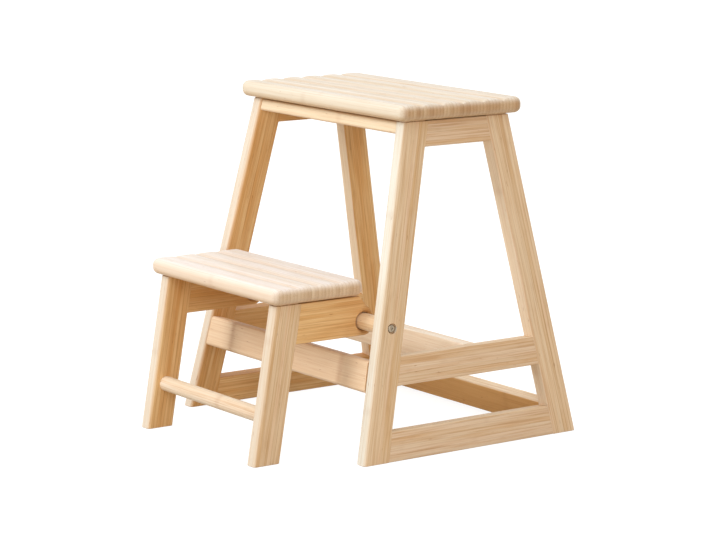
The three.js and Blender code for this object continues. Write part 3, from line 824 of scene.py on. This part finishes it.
# %% Legs of the side panels
leg_tones_and_light = {
    "front_leg_left": "painted_shade_leg",
    "front_leg_right": "bamboo_leg",
    # Painted light on the rear legs' narrow sides, with painted shade in the left one's strips.
    "rear_leg_left": "painted_light_and_shade_rear_leg",
    "rear_leg_right": "painted_light_rear_leg",
}

for side_name, side in sides.items():
    for end_name, end in ends.items():
        mesh = panel_leg(side, end)
        if end_name == "front":
            mesh = carve(mesh, *screw_hole(side))
        node = end_name + "_leg_" + side_name
        finish_piece(node, mesh, "bamboo_leg", "frame", leg_axes(side, end)[1:], leg_tones_and_light[node])

# %% [markdown]
# The rails between the legs are sawn to the slant of the legs and glued in flush. Their section
# is cut square, except where the frame's own level cuts it: along the ground and under the tread.
# Each end stops a hair before the leg and has a tiny ease, which draws the thin line of the joint.

# %% Rails of the side panels
end_ease = 0.2 * mm


def level_cut(height, origin, across, through):
    """How far across a board a height above the ground lies, at its two faces."""
    return [(height - origin.z - t * through.z) / across.z for t in (-half_thickness, half_thickness)]


def board_between(origin, axes, corners, radii, planes):
    """A board with its outline given, cut at both ends by planes, each a point and a normal."""
    rings = []
    for (point, normal), order in zip(planes, (1, -1)):
        outward_normal = normal if normal.dot(axes[2] * order) < 0 else -normal
        eased = laid(rounded(corners, radii, end_ease), origin, *axes, point, normal)
        full_point = point - outward_normal * end_ease
        full = laid(rounded(corners, radii), origin, *axes, full_point, normal)
        rings += [eased, full][::order]
    return to_mesh("board", loft(rings)[0])


for side_name, side in sides.items():
    foot, outward, rise = panel_axes(side)
    origin = foot - outward * side * half_thickness
    planes = []
    for end in ends.values():
        leg_origin, leg_across = leg_axes(side, end)[:2]
        planes.append((leg_origin + leg_across * (leg_width + joint_gap), leg_across))
    for rail_name, (low, high) in rail_spans.items():
        lows = [low, low]
        highs = [high, high]
        if rail_name == "bottom":
            lows = level_cut(0, origin, rise, outward)
        if rail_name == "top":
            highs = level_cut(frame_height - shadow_gap, origin, rise, outward)
        axes = (rise, outward, back)
        mesh = board_between(origin, axes, board_corners(lows, highs), [edge_radius] * 4, planes)
        node = rail_name + "_side_rail_" + side_name
        # Painted shade: the left side rails take the darker, honey coloured copy.
        finish_piece(node, mesh, "bamboo_rail", "frame", axes, "painted_shade_rail" if side < 0 else None)

# %% [markdown]
# Five rails cross the stool and join the panels. They lean with the legs that they join, and
# their ends are sawn to the splay of the panels. The thin rails under the seat are cut level on
# top. The two rails that show at the front are rounded over more along their front edges. All
# five are turned so that their broad faces show the flat grain, which is calmer to look at.
#
# The table gives for each rail a plane that it keeps to and its tilt, how deep behind that plane
# its middle lies, how high its lower edge lies and how wide it is.

# %% Rails across the stool
soft_edges = {"front_top_rail": 3.5 * mm, "front_cross_rail": 4.5 * mm}
thin_rail_low = frame_height - 20 * mm
thin_rail_depth = 3 * mm + half_thickness
thin_rail_gap = 3 * mm
front_rail_depth = 1 * mm + half_thickness
front_rail_low = pivot_height - 83 * mm
front_rail_width = 41 * mm
rear_rail_low = 6 * mm
rear_rail_width = 37 * mm
middle_rail_depth = 16 * mm
middle_rail_low = mid_rail_low * math.cos(splay)
middle_rail_width = 36 * mm
rear_plane = frame_centre + frame_foot_depth / 2
cross_rails = {
    "front_top_rail": (frame_front, -lean_across, thin_rail_depth, thin_rail_low, None),
    "rear_top_rail": (rear_plane, lean_across, -thin_rail_depth, thin_rail_low, None),
    "front_cross_rail": (frame_front, -lean_across, front_rail_depth, front_rail_low, front_rail_width),
    "rear_cross_rail": (rear_plane, lean_across, half_thickness - leg_width, rear_rail_low, rear_rail_width),
    "middle_cross_rail": (frame_centre, 0, middle_rail_depth, middle_rail_low, middle_rail_width),
}
rail_tones_and_light = {
    "front_top_rail": "top_rail",
    "front_cross_rail": "cross_rail",
    # The rear cross rail's dark broad faces are painted shade.
    "rear_cross_rail": "painted_shade_rear_rail",
    # The middle rail's paler finish is painted light.
    "middle_cross_rail": "painted_light_middle_rail",
}
panel_planes = []
for side in sides.values():
    foot, outward, _ = panel_axes(side)
    panel_planes.append((foot - outward * side * (board_thickness + joint_gap), outward))

for node, (plane_y, tilt, depth, low, width) in cross_rails.items():
    through = Vector((0, math.cos(tilt), math.sin(tilt)))
    across = Vector((0, -math.sin(tilt), math.cos(tilt)))
    origin = back * plane_y + through * depth + across * (low / math.cos(tilt) - depth * math.tan(tilt))
    highs = [width, width]
    if width is None:
        highs = level_cut(frame_height - thin_rail_gap, origin, across, through)
    front_radius = soft_edges.get(node, edge_radius)
    radii = [front_radius, front_radius, edge_radius, edge_radius]
    corners = board_corners([0, 0], highs)
    mesh = board_between(origin, (across, through, right), corners, radii, panel_planes)
    tone_and_light = rail_tones_and_light.get(node, "bamboo_rail")
    # These bands fall behind the step's legs and also stand for their shadows: partly painted shadow.
    joint_at = cane_joint_spacing / 2 if node == "front_cross_rail" else None
    finish_piece(node, mesh, "bamboo_rail", "frame", (through, across, right), tone_and_light, joint_at)

# %% [markdown]
# A tread is a 21 mm slab with rounded corners, a generous round along every edge, and shallow
# grooves along its top that part it into soft ribs. It could be carved with Booleans, but then
# the grooves would meet the rounded rim in hard creases. Here the slab is a stack of rings, each
# drawn in from the plan by its own distance, and the height of every point is the lower of two:
# the round of the rim and the grooved top. A soft minimum blends them, as sanding does.
#
# The grooves come first: a height for every place across the tread, and the places where the
# mesh needs points, which lie close together in a groove and wide apart on a rib.

# %% Grooves of the treads
tread_thickness = top_tread_high.z - top_tread_low.z
tread_corner = 12 * mm
rib_pitch = 33 * mm
groove_depths = {"top_tread": 3.8 * mm, "step_tread": 2.2 * mm}
groove_bottom = 0.4 * mm
rib_crown_power = 2.6
groove_steps = 9


def grooved_top(y, depth, groove_depth):
    """The height of a tread's top at a place across its grooves, with 0 in its middle."""
    ribs = round(depth / rib_pitch)
    lowest = tread_thickness
    for groove in range(1, ribs):
        distance = abs(y - (groove - ribs / 2) * rib_pitch)
        share = min(math.hypot(distance, groove_bottom) / (rib_pitch / 2), 1)
        lowest = min(lowest, tread_thickness - groove_depth * (1 - share) ** rib_crown_power)
    return lowest


def groove_places(depth):
    """Places across a tread, close together in its grooves and wide apart on its ribs."""
    ribs = round(depth / rib_pitch)
    places = {-depth / 2 + tread_corner, depth / 2 - tread_corner}
    for groove in range(1, ribs):
        middle = (groove - ribs / 2) * rib_pitch
        for step in range(-groove_steps, groove_steps + 1):
            share = step / groove_steps
            places.add(round(middle + share * abs(share) * rib_pitch / 2, 7))
    return sorted(places)


for node in groove_depths:
    low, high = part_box(node)
    print(node, "has", round((high.y - low.y) / rib_pitch), "ribs")

# %% [markdown]
# Seen from above, a tread is a rectangle with rounded corners, and its two ends have a point at
# each of those places. Every ring of the stack has as many points, so the rings can be joined
# one by one, and the innermost is closed with strips that run from end to end.

# %% Rings of a tread
tread_edge = 9 * mm
tread_inner_ring = 11 * mm
sanded = 0.5 * mm
rim_steps = 9
arc_steps = 8


def soft_minimum(first, second, blend):
    """The lower of two heights, rounded off where they cross."""
    share = min(max(0.5 + 0.5 * (second - first) / blend, 0), 1)
    return second + (first - second) * share - blend * share * (1 - share)


def tread_ring(length, depth, inset, places):
    """The plan of a tread drawn in by an inset, anticlockwise from the foot of its right end."""
    radius = tread_corner - inset
    ring = []
    for x_sign, y_sign, start in ((1, 1, 0), (-1, 1, 90), (-1, -1, 180), (1, -1, 270)):
        if x_sign == y_sign:
            x = x_sign * (length / 2 - inset)
            ring += [Vector((x, y, 0)) for y in places[1:-1][::x_sign]]
        for step in range(arc_steps + 1):
            angle = math.radians(start + 90 * step / arc_steps)
            x = x_sign * (length / 2 - tread_corner) + radius * math.cos(angle)
            y = y_sign * (depth / 2 - tread_corner) + radius * math.sin(angle)
            ring.append(Vector((x, y, 0)))
    return ring


def tread_slab(length, depth, origin, groove_depth):
    """A grooved slab that stands on the origin's height."""
    places = groove_places(depth)
    lower = quarter(tread_edge, rim_steps)
    upper = [(rise, tread_thickness - inset) for inset, rise in lower]
    rings = []
    for index, (inset, height) in enumerate(lower + upper + [(tread_inner_ring, tread_thickness)]):
        ring = tread_ring(length, depth, inset, places)
        for point in ring:
            point.z = height
            if index > rim_steps:
                point.z = soft_minimum(height, grooved_top(point.y, depth, groove_depth), sanded)
        rings.append([origin + point for point in ring])
    bm, rows = loft(rings, closed=False)
    last = rows[-1]
    corner = arc_steps + 1
    half = len(places) - 2 + corner
    right_points = last[-corner:] + last[:half]
    left_points = last[half:-corner][::-1]
    for corners in zip(left_points, right_points, right_points[1:], left_points[1:]):
        bm.faces.new(corners)
    return to_mesh("tread", bm)


print("rings in a tread:", 2 * (rim_steps + 1) + 1)

# %% [markdown]
# The grooves and the lower rims are tinted a little darker and warmer: painted shade, for the
# shade that falls there. An attribute holds how much, from the depth of a groove, less towards
# its ends and less on the shallower step, and from how far round the lower rim it is. It could be
# painted in a node pattern, but the mesh knows best where it is sunk.

# %% Treads
painted_shade_power = 1.6
tread_joint = 40 * mm


def add_painted_shade(mesh, length, depth, origin, groove_depth):
    """Gives a tread's mesh its painted shade: how much darker each point is tinted."""
    painted_shade = mesh.attributes.new("painted_shade", "FLOAT", "POINT")
    for vertex in mesh.vertices:
        place = vertex.co - origin
        sunk = tread_thickness - grooved_top(place.y, depth, groove_depth)
        share = (sunk / groove_depth) ** painted_shade_power * groove_depth / groove_depths["top_tread"]
        share *= min((length / 2 - abs(place.x)) / tread_inner_ring, 1)
        under = max(1 - place.z / tread_edge, 0)
        painted_shade.data[vertex.index].value = share if place.z > tread_thickness / 2 else under


# The step's tread takes the paler copy of the tread bamboo: painted light.
treads = {"top_tread": ("frame", "bamboo_tread"), "step_tread": ("step", "step_tread")}
for node, (body, tone_and_light) in treads.items():
    low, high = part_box(node)
    origin = Vector(((low.x + high.x) / 2, (low.y + high.y) / 2, low.z))
    slab = (high.x - low.x, high.y - low.y, origin, groove_depths[node])
    mesh = tread_slab(*slab)
    # Painted shade in the grooves and under the lower rims.
    add_painted_shade(mesh, *slab)
    finish_piece(node, mesh, "bamboo_tread", body, (back, up, right), tone_and_light, tread_joint)

# %% [markdown]
# The step's legs are cut from the same board as the others and lean back by nine degrees. A
# blind hole in the inner face of each takes the end of the rung.

# %% Legs and rung of the step
rung_radius = 10 * mm
rung_height = 59 * mm
rung_tenon = 10 * mm
rung_room = 0.1 * mm
rung_joint = 21 * mm
bar_ease = 0.6 * mm
step_leg_depth = leg_width / math.cos(step_lean)
step_side = step_width / 2 - half_thickness
step_rail_low = step_height - step_rail_width
step_along = Vector((0, math.sin(step_lean), math.cos(step_lean)))
step_across = Vector((0, math.cos(step_lean), -math.sin(step_lean)))
rung_y = step_front + rung_height * math.tan(step_lean) + step_leg_depth / 2
rung_middle = Vector((0, rung_y, rung_height))
rung_end = step_width / 2 - board_thickness + rung_tenon


def bar_mesh(radius, half_length, middle):
    """A round bar along X with eased ends."""
    profile = [
        (radius - bar_ease, -half_length),
        (radius, bar_ease - half_length),
        (radius, half_length - bar_ease),
        (radius - bar_ease, half_length),
    ]
    return turned("bar", profile, middle, right)


for side_name, side in sides.items():
    axes = (step_across, right, step_along)
    below_rail = leg_foot(edge_radius) + [(edge_radius, 0, step_rail_low - edge_change)]
    beside_rail = [(flush_radius, 0, step_rail_low + edge_change)] + leg_top(step_height)
    rings = level_rings((Vector((side * step_side, step_front, 0)), *axes), below_rail + beside_rail)
    hole = [(rung_radius + rung_room, -overrun), (rung_radius + rung_room, rung_end + rung_room)]
    mesh = carve(to_mesh("step_leg", loft(rings)[0]), turned("hole", hole, rung_middle, right * side))
    # Painted shade: the left step leg takes the darker, honey coloured copy.
    tone_and_light = "painted_shade_leg" if side < 0 else "step_leg"
    finish_piece("step_leg_" + side_name, mesh, "bamboo_leg", "step", axes, tone_and_light)

mesh = bar_mesh(rung_radius, rung_end, rung_middle)
finish_piece("step_rung", mesh, "bamboo_rod", "step", (up, back, right), joint_at=rung_joint)
print("the rung is", round(2 * rung_end / mm), "mm long")

# %% [markdown]
# The side rails of the step are level at the front and round at the back, where they hold the
# bar. The outline needs only four corners: the one at the back has the radius of the nose, and an
# arc of that radius which touches both its sides is centred on the bar of itself. The hole is a
# little wider than the bar and its rims are eased, which draws a dark ring round the bar.

# %% Side rails of the step
shoulder_setback = 8 * mm
shoulder_radius = 3 * mm
nose_steps = 24
bar_room = 1.2 * mm
hole_ease = 2.4 * mm
bore_radius = dowel_radius + bar_room
rise_to_shoulder = step_height - pivot_height
slope = math.asin(step_rail_nose / math.hypot(shoulder_setback, rise_to_shoulder))
slope += math.atan(shoulder_setback / rise_to_shoulder)
nose_corner = pivot_y + step_rail_nose * (1 + math.sin(slope)) / math.cos(slope)
step_rail_corners = [
    (step_front, step_rail_low),
    (nose_corner, step_rail_low),
    (pivot_y - shoulder_setback, step_height - shadow_gap),
    (step_front, step_height - shadow_gap),
]
step_rail_radii = [edge_radius, step_rail_nose, shoulder_radius, edge_radius]

for side_name, side in sides.items():
    rings = []
    for face in (-1, 1):
        bevel = []
        for inset, rise in quarter(edge_radius, corner_steps):
            x = side * step_side + face * (half_thickness - rise)
            outline = rounded(step_rail_corners, step_rail_radii, inset, nose_steps)
            bevel.append([Vector((x, point.x, point.y)) for point in outline])
        rings += bevel[::-face]
    bm, _ = loft(rings)
    cut_point = Vector((0, step_front, 0)) + step_across * (leg_width + joint_gap)
    plane = {"plane_co": cut_point, "plane_no": step_across, "clear_inner": True}
    cut = bmesh.ops.bisect_plane(bm, geom=bm.verts[:] + bm.edges[:] + bm.faces[:], **plane)
    edges = [item for item in cut["geom_cut"] if isinstance(item, bmesh.types.BMEdge)]
    bmesh.ops.contextual_create(bm, geom=edges)
    hole = [
        (bore_radius + 2 * hole_ease, -half_thickness - hole_ease),
        (bore_radius, -half_thickness + hole_ease),
        (bore_radius, half_thickness - hole_ease),
        (bore_radius + 2 * hole_ease, half_thickness + hole_ease),
    ]
    mesh = carve(to_mesh("step_rail", bm), turned("hole", hole, pivot + right * side * step_side, right))
    node = "step_side_rail_" + side_name
    # Painted shade: both side rails of the step take the darker, honey coloured copy.
    finish_piece(node, mesh, "bamboo_rail", "step", (up, right, back), "painted_shade_rail")

# %% [markdown]
# The bar that the step swings on is a 22 mm dowel. Its ends stop just short of the front legs,
# and a screw through each leg runs into the threaded insert there.

# %% Pivot bar
_, dowel_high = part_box("pivot_dowel")
mesh = bar_mesh(dowel_radius, dowel_high.x, pivot)
# The bar's paler finish is painted light.
finish_piece("pivot_dowel", mesh, "bamboo_rod", "step", (up, back, right), "painted_light_pivot_bar")

# %% [markdown]
# A pan head screw is turned, with a short straight flank and a domed crown. Its cross recess is
# cut by two blades at right angles that grow narrower as they go in, as the tip of a driver does.

# %% Screws
screw_length = 28 * mm
screw_head_radius = 5.3 * mm
screw_head_height = 3 * mm
screw_flank = 1.3 * mm
screw_rim = 0.2 * mm
screw_lift = 0.2 * mm
cross_length = 6 * mm
cross_width = 1.4 * mm
cross_depth = 1.8 * mm
cross_taper = 0.6
crown_power = 0.7
crown_steps = 8


def screw_mesh(side):
    """A pan head screw: shank, flank and crown, with a cross recess that narrows as it deepens."""
    seat = screw_seat + screw_lift
    profile = [
        (screw_radius, seat - screw_length),
        (screw_radius, seat),
        (screw_head_radius - screw_rim, seat),
        (screw_head_radius, seat + screw_rim),
    ]
    for step in range(crown_steps):
        angle = math.pi / 2 * step / crown_steps
        rise = (screw_head_height - screw_flank) * math.sin(angle)
        profile.append((screw_head_radius * math.cos(angle) ** crown_power, seat + screw_flank + rise))
    widened = cross_taper + (1 - cross_taper) * (cross_depth + overrun) / cross_depth
    recess = [
        (screw_head_height - cross_depth, cross_taper, cross_taper),
        (screw_head_height + overrun, widened, 1),
    ]
    tools = []
    for turn in (0, math.pi / 2):
        wide = back * math.cos(turn) + up * math.sin(turn)
        narrow = up * math.cos(turn) - back * math.sin(turn)
        rings = []
        for place, long_share, wide_share in recess:
            middle = pivot + right * side * (seat + place)
            reach = wide * cross_length / 2 * long_share
            spread = narrow * cross_width / 2 * wide_share
            spans = ((-1, -1), (1, -1), (1, 1), (-1, 1))
            rings.append([middle + reach * a + spread * b for a, b in spans])
        tools.append(to_mesh("cross", loft(rings)[0]))
    return carve(turned("screw", profile, pivot, right * side), *tools)


for side_name, side in sides.items():
    finish_piece("pivot_screw_" + side_name, screw_mesh(side), "steel_screw", "step", (back, up, right))

# %% [markdown]
# The studio is a bright room, where light comes from all round and more of it from above. The
# white background is a matter of what the camera sees, not of more light: for camera, glossy and
# transmission rays the world is plain white, and the floor shows near white with the faint shadow
# of the stool.

# %% World and floor
room_brightness = 1.13
floor_size = 14
floor_drop = 0.3 * mm
floor_glow = 0.88
floor_veil = 0.3


def seen_directly(tree):
    """1 for the rays that show a surface: camera, glossy and transmission rays."""
    path = add(tree, "LightPath").outputs
    links = {0: path["Is Camera Ray"], 1: path["Is Glossy Ray"]}
    seen = add(tree, "Math", {"operation": "MAXIMUM"}, links)
    return add(tree, "Math", {"operation": "MAXIMUM"}, {0: seen, 1: path["Is Transmission Ray"]})


world = bpy.data.worlds.new("bright_room")
bpy.context.scene.world = world
world.use_nodes = True
world.node_tree.nodes.clear()
tree = world.node_tree
height = add(tree, "SeparateXYZ", links={0: add(tree, "TexCoord").outputs["Generated"]})
room = add(tree, "ValToRGB", links={0: height.outputs[2]})
set_stops(room, [(0, "#B6B4B1"), (1, "#FFFFFF")])
light = add(tree, "Background", {"Strength": room_brightness}, {0: room})
white = add(tree, "Background", {0: (1, 1, 1, 1)})
both = add(tree, "MixShader", links={0: seen_directly(tree), 1: light, 2: white})
add(tree, "OutputWorld", links={"Surface": both})

bpy.ops.mesh.primitive_plane_add(size=floor_size, location=(0, 0, -floor_drop))
floor = bpy.context.object
floor.name = "floor"
material, tree = new_material("matt_white_paper")
paper = add(tree, "BsdfDiffuse", {0: linear("#B4A894")})
glow = add(tree, "Emission", {0: (1, 1, 1, 1), "Strength": floor_glow})
veil = add(tree, "BsdfDiffuse", {0: (floor_veil, floor_veil, floor_veil, 1)})
shown = add(tree, "AddShader", links={0: glow, 1: veil})
both = add(tree, "MixShader", links={0: seen_directly(tree), 1: paper, 2: shown})
add(tree, "OutputMaterial", links={"Surface": both})
floor.data.materials.append(material)
print("the floor lies", floor_drop / mm, "mm below the feet")

# %% [markdown]
# Three soft lamps shape what the room would leave flat. The key lamp hangs high in front of the
# step, so the fronts and the treads are bright and the rear legs fall into shade under the seat.
# The low lamp stands straight ahead and lays the soft shadows of the step's legs on the rail
# behind them. The side lamp brings out the panel on the right. Each looks at the stool's middle.

# %% Lamps
def lamp(name, place, size, watts):
    """A square soft lamp that looks at the middle of the stool."""
    data = bpy.data.lights.new(name, "AREA")
    data.size = size
    data.energy = watts
    item = bpy.data.objects.new(name, data)
    item.location = place
    look = up * frame_height / 2 - Vector(place)
    item.rotation_euler = look.to_track_quat("-Z", "Y").to_euler()
    bpy.context.scene.collection.objects.link(item)


lamp("key_lamp", (-0.3, -2.2, 1.95), size=0.8, watts=28.5)
lamp("low_lamp", (-0.15, -2.7, 0.6), size=0.5, watts=7)
lamp("side_lamp", (2.9, -0.9, 0.8), size=0.6, watts=15)
bpy.context.scene.view_settings.view_transform = "Standard"
print("lamps:", len(bpy.data.lights))

# %% Pieces made
print("pieces made:", len(finished))
